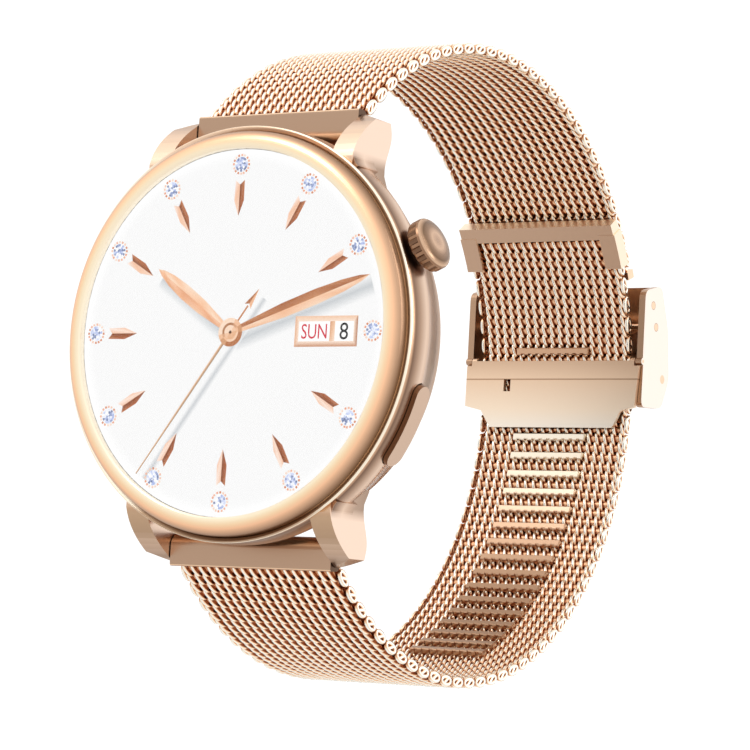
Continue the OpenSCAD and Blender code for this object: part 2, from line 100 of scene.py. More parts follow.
def add_node(tree, kind, settings=None, inputs=None, stops=None):
    """Adds a node with its settings; inputs hold values, or sockets and nodes to link; stops fill a ramp."""
    node = tree.nodes.new(kind)
    for name, value in (settings or {}).items():
        setattr(node, name, value)
    pairs = enumerate(inputs) if isinstance(inputs, (list, tuple)) else (inputs or {}).items()
    for key, value in pairs:
        if isinstance(value, bpy.types.Node):
            value = value.outputs[0]
        if isinstance(value, bpy.types.NodeSocket):
            tree.links.new(value, node.inputs[key])
        else:
            node.inputs[key].default_value = value
    for i, (place, code) in enumerate(stops or ()):
        ramp = node.color_ramp.elements
        stop = ramp[i] if i < 2 else ramp.new(place)
        stop.position = place
        stop.color = linear(code)
    return node


def graded(tree, value, stops):
    """Colour along a measured value; stops are (value, hex), from low to high."""
    low, high = stops[0][0], stops[-1][0]
    share = add_node(tree, RANGE, None, {"Value": value, "From Min": low, "From Max": high})
    places = [((v - low) / (high - low), code) for v, code in stops]
    return add_node(tree, RAMP, None, [share], places).outputs["Color"]


def case_radius(tree, place):
    """Distance from the case's axis, in millimetres."""
    flat = add_node(tree, VECTOR, TIMES, [place, (1 / MM, 0, 1 / MM)])
    return add_node(tree, VECTOR, LENGTH, [flat]).outputs["Value"]


def drift(stops, patch_mm=6.0):
    """A tone that wanders slowly through the stops, in patches patch_mm across."""

    def paint(tree, coords):
        place = coords.outputs["Object"]
        sizes = {"Vector": place, "Scale": 1 / (patch_mm * MM), "Detail": 2.0}
        patches = add_node(tree, "ShaderNodeTexNoise", None, sizes)
        return add_node(tree, RAMP, None, [patches], stops).outputs[0]

    return paint


def surface(name, paint, grain, **sockets):
    """A material: paint gives its tone; grain is the finish's grain size and height in mm, and strength."""
    material = bpy.data.materials.new(name)
    material.use_nodes = True
    tree = material.node_tree
    tree.nodes.clear()
    coords = add_node(tree, "ShaderNodeTexCoord")
    size, height, strength, stretch = grain
    place = {"Vector": coords.outputs["Object"], "Scale": stretch}
    mapped = add_node(tree, "ShaderNodeMapping", None, place)
    grains = {"Vector": mapped, "Scale": 1 / (size * MM), "Detail": 3.0}
    noise = add_node(tree, "ShaderNodeTexNoise", None, grains)
    bump = add_node(
        tree, "ShaderNodeBump", None, {"Height": noise, "Distance": height * MM, "Strength": strength}
    )
    inputs = {key.replace("_", " "): value for key, value in sockets.items()}
    inputs["Base Color"] = paint(tree, coords)
    inputs["Normal"] = bump
    shader = add_node(tree, "ShaderNodeBsdfPrincipled", None, inputs)
    add_node(tree, "ShaderNodeOutputMaterial", None, {"Surface": shader})
    return material


# ---- Painted light and shade that follow the shape ----

EVEN = (1, 1, 1)


def bezel_painted_shading(tree, coords):
    """Painted light by distance from the axis: a painted cream highlight on the inner slope, through peach,
    to painted brown shade in the groove.
    """
    return graded(
        tree,
        case_radius(tree, coords.outputs["Object"]),
        [
            (18.4, "#FFF3DC"), (18.9, "#FFEFD0"), (19.3, "#FFE0B8"), (19.7, "#FFCCA4"),
            (20.1, "#CBA384"), (20.38, "#8A6A52"), (20.5, "#5C4433"),
        ],
    )


def case_painted_shading(tree, coords):
    """Painted highlight on the bright bead at the rim, painted shade on the brown-grey barrel; the pinkish
    lug sides and the lug fronts, brown below and peach above, are painted light by facing and height.
    """
    place = add_node(tree, VECTOR, TIMES, [coords.outputs["Object"], (1 / MM, 1 / MM, 1 / MM)])
    parts = add_node(tree, SPLIT_XYZ, None, [place])
    facing = add_node(tree, SPLIT_XYZ, None, [coords.outputs["Normal"]])
    depth = add_node(tree, MATH, PLUS, [parts.outputs["Y"], RIM_Y])
    barrel = graded(
        tree,
        depth,
        [
            (0.0, "#FFF3DE"), (0.27, "#FFEBCF"), (0.5, "#D9AE8E"), (0.85, "#7C6150"), (1.6, "#B3947E"),
            (2.6, "#E3C6AF"), (3.4, "#D0B19A"), (4.6, "#B59A86"), (7.2, "#A58B78"), (9.0, "#B7977E"),
        ],
    )
    fronts = graded(
        tree,
        parts.outputs["Z"],
        [
            (-23.0, "#5A4232"), (-22.2, "#A3876F"), (-18.0, "#C9A98A"), (0.0, "#E0B998"),
            (18.0, "#FFE3C8"), (22.5, "#EBC6A5"),
        ],
    )
    away = add_node(tree, MATH, SIZE, [parts.outputs["Z"]])
    lug = add_node(tree, RANGE, None, {"Value": away, "From Min": 17.0, "From Max": 18.2})
    sideways = add_node(tree, MATH, SIZE, [facing.outputs["X"]])
    flank = add_node(tree, RANGE, None, {"Value": sideways, "From Min": 0.97, "From Max": 0.995})
    ahead = add_node(
        tree, RANGE, None, {"Value": facing.outputs["Y"], "From Min": -0.5, "From Max": -0.75}
    )
    lug_front = add_node(tree, MATH, TIMES, [ahead, lug])
    with_fronts = add_node(tree, "ShaderNodeMix", COLOURS, {0: lug_front, 6: barrel, 7: fronts})
    lug_flank = add_node(tree, MATH, TIMES, [flank, lug])
    return add_node(
        tree, "ShaderNodeMix", COLOURS, {0: lug_flank, 6: with_fronts.outputs[2], 7: linear("#F6DAC5")}
    ).outputs[2]


def wire_painted_shading(strap):
    """Painted cream highlight along the ridge of each wire and on the sideways faces at the strap's edges,
    painted brown shade down its flanks and painted dark shade in the gaps.
    """

    def paint(tree, coords):
        centred = add_node(tree, VECTOR, LESS, [coords.outputs["Object"], (0, strap["centre"] * MM, 0)])
        spoke = add_node(tree, VECTOR, TIMES, [centred, (0, 1 / MM, 1 / MM)])
        reach = add_node(tree, VECTOR, LENGTH, [spoke]).outputs["Value"]
        height = add_node(tree, MATH, SIZE, [add_node(tree, MATH, LESS, [reach, strap["radius"]])])
        level = add_node(tree, RANGE, None, {"Value": height, "From Min": 0.05, "From Max": 0.5})
        outward = add_node(tree, VECTOR, UNIT, [spoke])
        facing = add_node(tree, VECTOR, DOT, [coords.outputs["Normal"], outward]).outputs["Value"]
        ridge = add_node(tree, MATH, TIMES, [add_node(tree, MATH, SIZE, [facing]), level])
        parts = add_node(tree, SPLIT_XYZ, None, [coords.outputs["Object"]])
        turned = add_node(tree, SPLIT_XYZ, None, [coords.outputs["Normal"]])
        aside = add_node(tree, MATH, SIZE, [parts.outputs["X"]])
        edge = add_node(tree, RANGE, None, {"Value": aside, "From Min": 9.35 * MM, "From Max": 9.6 * MM})
        sideways = add_node(tree, MATH, SIZE, [turned.outputs["X"]])
        rim = add_node(tree, MATH, TIMES, [sideways, edge])
        return graded(
            tree,
            add_node(tree, MATH, MOST, [ridge, rim]),
            [
                (0.0, "#9A5F3C"), (0.25, "#C68C64"), (0.5, "#EDBE97"), (0.7, "#FFE0BF"),
                (0.84, "#FFF6E4"), (1.0, "#FFFFFA"),
            ],
        )

    return paint


def folded_painted_shading(tree, coords):
    """Painted light by facing: painted brown shade on the flat front, a painted highlight as a cream line at
    the fold, and painted dark shade behind it.
    """
    facing = add_node(tree, SPLIT_XYZ, None, [coords.outputs["Normal"]]).outputs["Y"]
    return graded(
        tree,
        facing,
        [
            (-1.0, "#B99A82"), (-0.985, "#B99A82"), (-0.95, "#FFE3C4"), (-0.8, "#F2CDA8"),
            (-0.6, "#C27F55"), (-0.2, "#5A4334"), (1.0, "#8A6F5A"),
        ],
    )


def cheek_painted_shading(tree, coords):
    """Painted light by facing: creamy outer faces and painted brown shade on the edges and inner faces, with
    three crescent rivet marks.
    """
    place = add_node(tree, VECTOR, TIMES, [coords.outputs["Object"], (1 / MM, 1 / MM, 1 / MM)])
    parts = add_node(tree, SPLIT_XYZ, None, [place])
    facing = add_node(tree, SPLIT_XYZ, None, [coords.outputs["Normal"]])
    outer = add_node(tree, MATH, TIMES, [parts.outputs["X"], facing.outputs["X"]])
    tone = graded(tree, outer, [(-11.0, "#A5846B"), (0.0, "#B8967B"), (8.0, "#D9B598"), (11.4, "#FFF1E5")])
    flat = add_node(tree, VECTOR, TIMES, [place, (0, 1, 1)])
    for y, z in ((33.5, 11.2), (34.4, 8.8), (36.5, 3.0)):
        off = add_node(tree, VECTOR, LESS, [flat, (0, y, z)])
        reach = add_node(tree, VECTOR, LENGTH, [off]).outputs["Value"]
        mark = graded(
            tree,
            reach,
            [(0.0, "#FFFFFF"), (0.38, "#FFFFFF"), (0.45, "#A5846B"), (0.52, "#FFFFFF"), (0.6, "#FFFFFF")],
        )
        tone = add_node(
            tree, "ShaderNodeMix", {"data_type": "RGBA", "blend_type": "MULTIPLY"}, {0: 1.0, 6: tone, 7: mark}
        ).outputs[2]
    return tone


def plate_painted_shading(tree, coords):
    """Painted light down its height: tan at its top edge to cream at its bottom edge, with a fine stamped
    line.
    """
    place = add_node(tree, VECTOR, TIMES, [coords.outputs["Object"], (1 / MM, 1 / MM, 1 / MM)])
    return graded(
        tree,
        add_node(tree, SPLIT_XYZ, None, [place]).outputs["Z"],
        [
            (-3.2, "#FFF6E8"), (-1.0, "#FFEBD3"), (2.36, "#F3D5B8"), (2.42, "#B48F72"), (2.5, "#B48F72"),
            (2.56, "#F3D5B8"), (4.6, "#DDBC9F"),
        ],
    )


def keeper_painted_shading(tree, coords):
    """Painted light by facing: painted brown shade on the face against the wrist, painted cream highlights on
    its sides and top edge.
    """
    toward = add_node(tree, VECTOR, DOT, [coords.outputs["Normal"], (0.0, -0.85, -0.53)]).outputs["Value"]
    return graded(
        tree,
        toward,
        [
            (-1.0, "#C9A88A"), (0.0, "#FFEBD3"), (0.6, "#FFE3C6"), (0.93, "#8D6F58"),
            (0.97, "#C6A68D"), (1.0, "#C6A68D"),
        ],
    )


def notch_painted_shading(tree, coords):
    """Painted light: cream beside the plate and browner further down, with painted dark shade on the top
    faces.
    """
    place = add_node(tree, VECTOR, TIMES, [coords.outputs["Object"], (1 / MM, 1 / MM, 1 / MM)])
    along = graded(
        tree,
        add_node(tree, SPLIT_XYZ, None, [place]).outputs["Z"],
        [
            (-22.0, "#C39C7E"), (-14.0, "#D9B294"), (-8.0, "#FFEFD8"), (-3.0, "#FFF6E6"),
            (4.8, "#FFE9CF"), (5.2, "#D9B090"),
        ],
    )
    upward = add_node(tree, SPLIT_XYZ, None, [coords.outputs["Normal"]]).outputs["Z"]
    top = add_node(tree, RANGE, None, {"Value": upward, "From Min": 0.5, "From Max": 0.85})
    return add_node(tree, "ShaderNodeMix", COLOURS, {0: top, 6: along, 7: linear("#9A775C")}).outputs[2]


def crown_painted_shading(tree, coords):
    """Painted light: peach highlights on the ridges with painted brown shade in the flutes round the side,
    and painted soft brown shade in bands on the dished cap.
    """
    a = math.radians(CROWN_ANGLE)
    place = add_node(tree, VECTOR, LESS, [coords.outputs["Object"], (0, CROWN_Y * MM, 0)])
    scaled = add_node(tree, VECTOR, TIMES, [place, (1 / MM, 1 / MM, 1 / MM)])
    along = add_node(tree, VECTOR, DOT, [scaled, (math.cos(a), 0, math.sin(a))]).outputs["Value"]
    across = add_node(tree, VECTOR, DOT, [scaled, (-math.sin(a), 0, math.cos(a))]).outputs["Value"]
    depth = add_node(tree, SPLIT_XYZ, None, [scaled]).outputs["Y"]
    reach = add_node(tree, VECTOR, LENGTH, [add_node(tree, JOIN_XYZ, None, [across, depth])]).outputs["Value"]
    band = graded(tree, reach, [(2.5, "#7A5C48"), (2.75, "#B48C6E"), (2.95, "#FBD5B4"), (3.0, "#FFDFC2")])
    cap = graded(
        tree,
        reach,
        [
            (0.0, "#B3927A"), (0.9, "#D2AE92"), (1.5, "#9A7B64"), (2.1, "#7A5F4A"),
            (2.45, "#C9A588"), (2.8, "#F2CFAF"),
        ],
    )
    end = add_node(tree, RANGE, None, {"Value": along, "From Min": CROWN_TOP - 0.1, "From Max": CROWN_TOP})
    return add_node(tree, "ShaderNodeMix", COLOURS, {0: end, 6: band, 7: cap}).outputs[2]


def button_painted_shading(tree, coords):
    """Painted light by facing: pinkish outer face, a painted cream to peach highlight on the bevel and
    painted dark shade where it enters the case.
    """
    a = math.radians(BUTTON_ANGLE)
    way = (math.cos(a), 0, math.sin(a))
    outward = add_node(tree, VECTOR, DOT, [coords.outputs["Normal"], way]).outputs["Value"]
    return graded(
        tree,
        outward,
        [
            (0.0, "#8A6850"), (0.25, "#F5CDA9"), (0.7, "#FFE6CB"), (0.9, "#E3BFA2"),
            (0.98, "#CDB09A"), (1.0, "#CDB09A"),
        ],
    )


# ---- Finishes ----

FINE, BRUSHED = (0.25, 0.002, 0.15, EVEN), (0.12, 0.002, 0.25, (0.15, 1, 1))
PLATED = dict(Metallic=1.0)

# Rose gold plate polished over steel: soft broad reflections, with a painted cream highlight on the slope
# toward the glass and painted brown shade in the groove.
BEZEL = surface("polished_rose_gold_bezel_painted_shading", bezel_painted_shading, FINE, Roughness=0.32, **PLATED)
# The same plate on the mid-case, with painted shade where it curves away under the rim and painted highlights
# on the bead and the lug sides.
CASE = surface("polished_rose_gold_case_painted_shading", case_painted_shading, FINE, Roughness=0.28, **PLATED)
# Fine cross-brushed rose gold sheet: creamy and even.
SATIN = surface(
    "satin_rose_gold_clasp", drift([(0.3, "#F4CFAE"), (0.7, "#FFDDBD")]), BRUSHED, Roughness=0.3, **PLATED
)
# Brushed cheeks of the buckle, painted bright outside and with painted brown shade on their cut edges.
CHEEK = surface("brushed_rose_gold_cheek_painted_shading", cheek_painted_shading, BRUSHED, Roughness=0.34, **PLATED)
# Satin sprung plate: a slow tan to cream fall of light down its height, painted into its colour.
PLATE = surface("satin_rose_gold_plate_painted_shading", plate_painted_shading, BRUSHED, Roughness=0.36, **PLATED)
# Satin keeper: matter, with painted brown shade on the face that lies on the wrist.
KEEPER = surface("satin_rose_gold_keeper_painted_shading", keeper_painted_shading, BRUSHED, Roughness=0.38, **PLATED)
# Stamped notch bars, sharp-edged, with painted shade on their tops and a painted fall of light from cream to
# brown down the strap.
NOTCH = surface("stamped_rose_gold_bars_painted_shading", notch_painted_shading, FINE, Roughness=0.3, **PLATED)
# Drawn wire plated after weaving, with painted cream highlights on its ridges over painted dark coppery shade
# in its gaps.
UPPER_WIRE = surface(
    "drawn_rose_gold_wire_upper_painted_shading", wire_painted_shading(UPPER), (0.15, 0.003, 0.2, EVEN), Roughness=0.24, **PLATED
)
LOWER_WIRE = surface(
    "drawn_rose_gold_wire_lower_painted_shading", wire_painted_shading(LOWER), (0.15, 0.003, 0.2, EVEN), Roughness=0.24, **PLATED
)
# Polished crown, with painted brown shade in its dish and flutes.
CROWN = surface("polished_rose_gold_crown_painted_shading", crown_painted_shading, FINE, Roughness=0.26, **PLATED)
# Polished button, pinkish and flat, with a painted highlight on its bevel.
BUTTON = surface("polished_rose_gold_button_painted_shading", button_painted_shading, FINE, Roughness=0.28, **PLATED)
# Folded sheet of the end links: painted brown shade on the flat front and a painted highlight as one bright
# line at the fold.
FOLDED = surface("folded_rose_gold_sheet_painted_shading", folded_painted_shading, FINE, Roughness=0.3, **PLATED)
# Ground stainless steel of the pins, bars and cans: neutral grey with a fine grind.
STEEL = surface(
    "ground_stainless_steel", drift([(0.3, "#B9BBBE"), (0.7, "#D0D2D4")]),
    (0.1, 0.002, 0.3, EVEN), Roughness=0.3, **PLATED
)
# Sintered tungsten: dull, dark and slightly pitted.
TUNGSTEN = surface(
    "sintered_tungsten", drift([(0.3, "#7E7A74"), (0.7, "#8F8A83")]),
    (0.08, 0.004, 0.5, EVEN), Roughness=0.45, **PLATED
)
# Gold flash on the charging contacts: yellow beside the rose gold.
CONTACT = surface(
    "gold_flashed_contact", drift([(0.3, "#E0B04A"), (0.7, "#F0C767")]),
    (0.2, 0.001, 0.2, EVEN), Roughness=0.25, **PLATED
)
# Laminated foil round the cell: soft grey with faint creases.
CELL = surface(
    "laminated_foil_cell", drift([(0.3, "#9DA1A6"), (0.7, "#B4B8BC")]),
    (0.6, 0.01, 0.4, EVEN), Roughness=0.4, **PLATED
)
# Moulded silicone seals: black with no shine.
RUBBER = surface(
    "moulded_black_silicone", drift([(0.3, "#17181A"), (0.7, "#222326")]),
    (0.08, 0.003, 0.4, EVEN), Roughness=0.75
)
# Glass-filled nylon frame: dark grey with the spark texture of its mould.
NYLON = surface(
    "glass_filled_black_nylon", drift([(0.3, "#2C2E32"), (0.7, "#383B40")]),
    (0.1, 0.004, 0.5, EVEN), Roughness=0.6
)
# Matt polycarbonate back, which is soft to the skin.
BACK = surface(
    "matt_black_polycarbonate", drift([(0.3, "#222326"), (0.7, "#2B2C30")]),
    (0.12, 0.004, 0.4, EVEN), Roughness=0.5
)
# Polished acrylic over the sensors: almost black and mirror smooth.
LENS = surface(
    "polished_black_acrylic", drift([(0.3, "#0C0D10"), (0.7, "#131519")]),
    (2.0, 0.001, 0.1, EVEN), Roughness=0.06
)
# Solder mask over glass epoxy: satin green.
BOARD = surface(
    "solder_masked_glass_epoxy", drift([(0.3, "#164A2E"), (0.7, "#1E5B3A")], 3.0),
    (0.4, 0.004, 0.3, EVEN), Roughness=0.35
)
# Polyimide film of the flex circuits: amber and smooth.
FLEX = surface(
    "polyimide_flex_film", drift([(0.3, "#A8591A"), (0.7, "#BE6E2A")], 3.0),
    (0.5, 0.003, 0.2, EVEN), Roughness=0.35
)
# Tempered cover glass: clear, with a hard reflection only at grazing angles.
GLASS = surface(
    "tempered_cover_glass", drift([(0.0, "#FDFEFF"), (1.0, "#FFFFFF")], 9.0), (8.0, 0.0005, 0.05, EVEN),
    Roughness=0.02, Alpha=0.04,
)
GLASS.surface_render_method = "BLENDED"


def lit(name, glow):
    """A screen surface that gives its own light, so that its whites stay white in any room."""
    black = drift([(0.0, "#000000"), (1.0, "#010101")])
    material = surface(name, black, (0.3, 0.0005, 0.02, EVEN), Roughness=1.0)
    tree = material.node_tree
    shader = next(n for n in tree.nodes if n.type == "BSDF_PRINCIPLED")
    shader.inputs["Specular IOR Level"].default_value = 0.0
    shader.inputs["Emission Strength"].default_value = 1.0
    tree.links.new(glow(tree), shader.inputs["Emission Color"])
    return material


def screen_glow(tree):
    place = add_node(tree, "ShaderNodeTexCoord").outputs["Object"]
    return graded(
        tree,
        case_radius(tree, place),
        [(0.0, "#F8F8F8"), (17.2, "#F8F8F8"), (18.2, "#FFFFFF"), (18.5, "#FFFFFF")],
    )


def picture_glow(tree):
    return add_node(tree, "ShaderNodeVertexColor", {"layer_name": "tone"}).outputs[0]


# Lit white ground of the screen, and the picture drawn on it.
SCREEN = lit("lit_white_screen", screen_glow)
PICTURE = lit("lit_screen_picture", picture_glow)

SLOT_FINISH = {
    "case_metal": CASE,
    "bezel_metal": BEZEL,
    "glass": GLASS,
    "display": SCREEN,
    "rubber": RUBBER,
    "flex": FLEX,
    "frame_plastic": NYLON,
    "board": BOARD,
    "steel": STEEL,
    "cell": CELL,
    "tungsten": TUNGSTEN,
    "back_plastic": BACK,
    "lens_plastic": LENS,
    "contacts": CONTACT,
    "mesh_metal": LOWER_WIRE,
    "clasp_metal": SATIN,
}
NODE_FINISH = {
    "crown_head": CROWN,
    "side_button": BUTTON,
    "upper_end_link": FOLDED,
    "lower_end_link": FOLDED,
    "keeper_clip": KEEPER,
    "buckle_frame": CHEEK,
    "locking_plate": PLATE,
}


def finish_cad_nodes():
    """Gives each CAD node the finish of its material slot."""
    for name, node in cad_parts.items():
        for slot in node.material_slots:
            key = slot.material.name.split(".")[0] if slot.material else ""
            slot.material = NODE_FINISH.get(name) or SLOT_FINISH.get(key, STEEL)


finish_cad_nodes()


# ---- Helpers for pieces ----


def piece(name, mesh, material, body, stands_for=()):
    """Makes a finished piece of a mesh with its material, on its body, and hides the CAD nodes it stands for.
    """
    obj = bpy.data.objects.new(name, mesh)
    bpy.context.scene.collection.objects.link(obj)
    mesh.materials.clear()
    mesh.materials.append(material)
    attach(obj, body)
    if stands_for:
        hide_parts(*stands_for)
    return obj


def mesh_from(name, points, faces):
    mesh = bpy.data.meshes.new(name)
    mesh.from_pydata(points, [], faces)
    mesh.validate()
    mesh.update()
    return mesh


def strap_point(strap, angle, out, across):
    """A place on a strap: angle round its centre, height over its middle line, and x."""
    r = strap["radius"] + out
    a = math.radians(angle)
    return (across * MM, (strap["centre"] + r * math.cos(a)) * MM, r * math.sin(a) * MM)


# ---- Woven mesh, in millimetres ----

ROW_PITCH = 1.13
TURNS = 18
COIL_WIDTH = 18.9
WIRE_R = 0.23
COIL_REACH = 0.8
COIL_HEIGHT = 0.415
LEAN = 0.03
TURN_STEPS = 14
WIRE_SIDES = 6
RING_X = 9.68
RING_REACH = 0.88
# Core rod in each row fills the gaps between the coils so that they show dark, standing in for shade
CORE_WIDTH = 18.2
CORE_REACH = 0.56
CORE_HEIGHT = 0.27


def weave_tree():
    """Rows of interlocked coils with a flat core rod in each, a dark filler that stands in for shade in the
    gaps, and a ring over two rows at each edge.
    """
    tree = bpy.data.node_groups.new("milanese_weave", "GeometryNodeTree")
    for name, kind in (
        ("Rows", "Int"), ("First Angle", "Float"), ("Angle Step", "Float"), ("Strap Radius", "Float"),
        ("Centre", "Vector"), ("Turns", "Int"), ("Column Pitch", "Float"), ("Reach", "Float"),
        ("Height", "Float"), ("Lean", "Float"), ("Wire Radius", "Float"), ("Turn Steps", "Int"),
        ("Wire Sides", "Int"), ("Core Size", "Vector"), ("Ring Place", "Float"),
        ("Ring Reach", "Float"), ("Finish", "Material"),
    ):
        tree.interface.new_socket(name, in_out="INPUT", socket_type="NodeSocket" + kind)
    tree.interface.new_socket("Geometry", in_out="OUTPUT", socket_type="NodeSocketGeometry")
    given = add_node(tree, "NodeGroupInput").outputs

    index = add_node(tree, "GeometryNodeInputIndex")
    sizes = {"Resolution": given["Wire Sides"], "Radius": given["Wire Radius"]}
    profile = add_node(tree, "GeometryNodeCurvePrimitiveCircle", None, sizes)

    # One coil, along X: its reach goes along the strap (Y here), its height out of it (Z here)
    steps = add_node(tree, MATH, TIMES, [given["Turns"], given["Turn Steps"]])
    posts = add_node(tree, MATH, PLUS, [steps, 1.0])
    line = add_node(tree, "GeometryNodeMeshLine", None, {"Count": posts})
    turn = add_node(tree, MATH, OVER, [index, given["Turn Steps"]])
    angle = add_node(tree, MATH, TIMES, [turn, TAU])
    middle = add_node(tree, MATH, TIMES, [given["Turns"], 0.5])
    from_middle = add_node(tree, MATH, LESS, [turn, middle])
    along = add_node(tree, MATH, TIMES, [from_middle, given["Column Pitch"]])
    twice = add_node(tree, MATH, SINE, [add_node(tree, MATH, TIMES, [angle, 2.0])])
    swing = add_node(tree, MATH, TIMES, [twice, given["Lean"]])
    coil_x = add_node(tree, MATH, LESS, [along, swing])
    coil_y = add_node(tree, MATH, TIMES, [add_node(tree, MATH, COSINE, [angle]), given["Reach"]])
    coil_z = add_node(tree, MATH, TIMES, [add_node(tree, MATH, SINE, [angle]), given["Height"]])
    coil_place = add_node(tree, JOIN_XYZ, None, [coil_x, coil_y, coil_z])
    coil_line = add_node(tree, "GeometryNodeSetPosition", None, {"Geometry": line, "Position": coil_place})
    coil_curve = add_node(tree, "GeometryNodeMeshToCurve", None, [coil_line])
    wire = {"Profile Curve": profile, "Fill Caps": True}
    coil = add_node(tree, "GeometryNodeCurveToMesh", None, {"Curve": coil_curve, **wire})

    # The flat core rod inside each row of coils: a dark filler standing in for the shade in the see-through
    # gaps
    core_line = add_node(
        tree, "GeometryNodeCurvePrimitiveLine", None, {"Start": (-0.5, 0, 0), "End": (0.5, 0, 0)}
    )
    core_profile = add_node(tree, "GeometryNodeCurvePrimitiveCircle", None, {"Resolution": 8, "Radius": 1.0})
    rod = add_node(
        tree,
        "GeometryNodeCurveToMesh",
        None,
        {"Curve": core_line, "Profile Curve": core_profile, "Fill Caps": True},
    )
    core = add_node(tree, "GeometryNodeTransform", None, {"Geometry": rod, "Scale": given["Core Size"]})
    row = add_node(tree, "GeometryNodeJoinGeometry")
    for part in (coil, core):
        tree.links.new(part.outputs[0], row.inputs[0])

    # One edge ring, in the Y and Z plane, with the wire's end lying slantwise across it
    loop = add_node(tree, "GeometryNodeCurvePrimitiveCircle", None, {"Resolution": 14, "Radius": 1.0})
    at = add_node(tree, SPLIT_XYZ, None, [add_node(tree, "GeometryNodeInputPosition")])
    ring_y = add_node(tree, MATH, TIMES, [at.outputs[0], given["Ring Reach"]])
    ring_z = add_node(tree, MATH, TIMES, [at.outputs[1], given["Height"]])
    ring_place = add_node(tree, JOIN_XYZ, None, [0.0, ring_y, ring_z])
    ring_curve = add_node(tree, "GeometryNodeSetPosition", None, {"Geometry": loop, "Position": ring_place})
    bar_y = add_node(tree, MATH, TIMES, [given["Ring Reach"], 0.42])
    bar_z = add_node(tree, MATH, TIMES, [given["Height"], 0.75])
    bar_end = add_node(tree, JOIN_XYZ, None, [0.0, bar_y, bar_z])
    bar_start = add_node(tree, VECTOR, TIMES, [bar_end, (-1, -1, -1)])
    bar = add_node(tree, "GeometryNodeCurvePrimitiveLine", None, {"Start": bar_start, "End": bar_end})
    both = add_node(tree, "GeometryNodeJoinGeometry")
    for part in (ring_curve, bar):
        tree.links.new(part.outputs[0], both.inputs[0])
    ring = add_node(tree, "GeometryNodeCurveToMesh", None, {"Curve": both, **wire})

    def round_strap(count, row_number, across, shape):
        """Puts a shape at each row number round the strap, turned about X to lie along it."""
        points = add_node(tree, "GeometryNodeMeshLine", None, {"Count": count})
        turned = add_node(tree, MATH, TIMES, [row_number, given["Angle Step"]])
        a = add_node(tree, MATH, PLUS, [turned, given["First Angle"]])
        y = add_node(tree, MATH, TIMES, [add_node(tree, MATH, COSINE, [a]), given["Strap Radius"]])
        z = add_node(tree, MATH, TIMES, [add_node(tree, MATH, SINE, [a]), given["Strap Radius"]])
        spot = add_node(tree, VECTOR, PLUS, [add_node(tree, JOIN_XYZ, None, [across, y, z]), given["Centre"]])
        moved = add_node(tree, "GeometryNodeSetPosition", None, {"Geometry": points, "Position": spot})
        tilt = add_node(tree, JOIN_XYZ, None, [add_node(tree, MATH, LESS, [a, math.pi / 2]), 0.0, 0.0])
        return add_node(
            tree, "GeometryNodeInstanceOnPoints", None, {"Points": moved, "Instance": shape, "Rotation": tilt}
        )

    joined = add_node(tree, "GeometryNodeJoinGeometry")
    tree.links.new(round_strap(given["Rows"], index, 0.0, row).outputs[0], joined.inputs[0])
    halved = add_node(tree, MATH, TIMES, [given["Rows"], 0.5])
    pairs = add_node(tree, MATH, {"operation": "FLOOR"}, [halved])
    ring_row = add_node(tree, MATH, PLUS, [add_node(tree, MATH, TIMES, [index, 2.0]), 0.5])
    for side in (1.0, -1.0):
        across = add_node(tree, MATH, TIMES, [given["Ring Place"], side])
        tree.links.new(round_strap(pairs, ring_row, across, ring).outputs[0], joined.inputs[0])

    whole = add_node(tree, "GeometryNodeRealizeInstances", None, [joined])
    smooth = add_node(tree, "GeometryNodeSetShadeSmooth", None, {"Geometry": whole})
    faced = add_node(tree, "GeometryNodeSetMaterial", None, {"Geometry": smooth, "Material": given["Finish"]})
    add_node(tree, "NodeGroupOutput", None, [faced])
    return tree


def grown(name, tree, values):
    """Runs a node tree on an empty mesh and gives the result as a plain mesh."""
    carrier = bpy.data.objects.new(name + "_carrier", bpy.data.meshes.new(name + "_carrier"))
    bpy.context.scene.collection.objects.link(carrier)
    modifier = carrier.modifiers.new("grow", "NODES")
    modifier.node_group = tree
    for item in tree.interface.items_tree:
        if item.in_out == "INPUT":
            modifier[item.identifier] = values[item.name]
    bpy.context.view_layer.update()
    graph = bpy.context.evaluated_depsgraph_get()
    mesh = bpy.data.meshes.new_from_object(carrier.evaluated_get(graph))
    mesh.name = name
    bpy.data.objects.remove(carrier)
    return mesh


WEAVE = weave_tree()


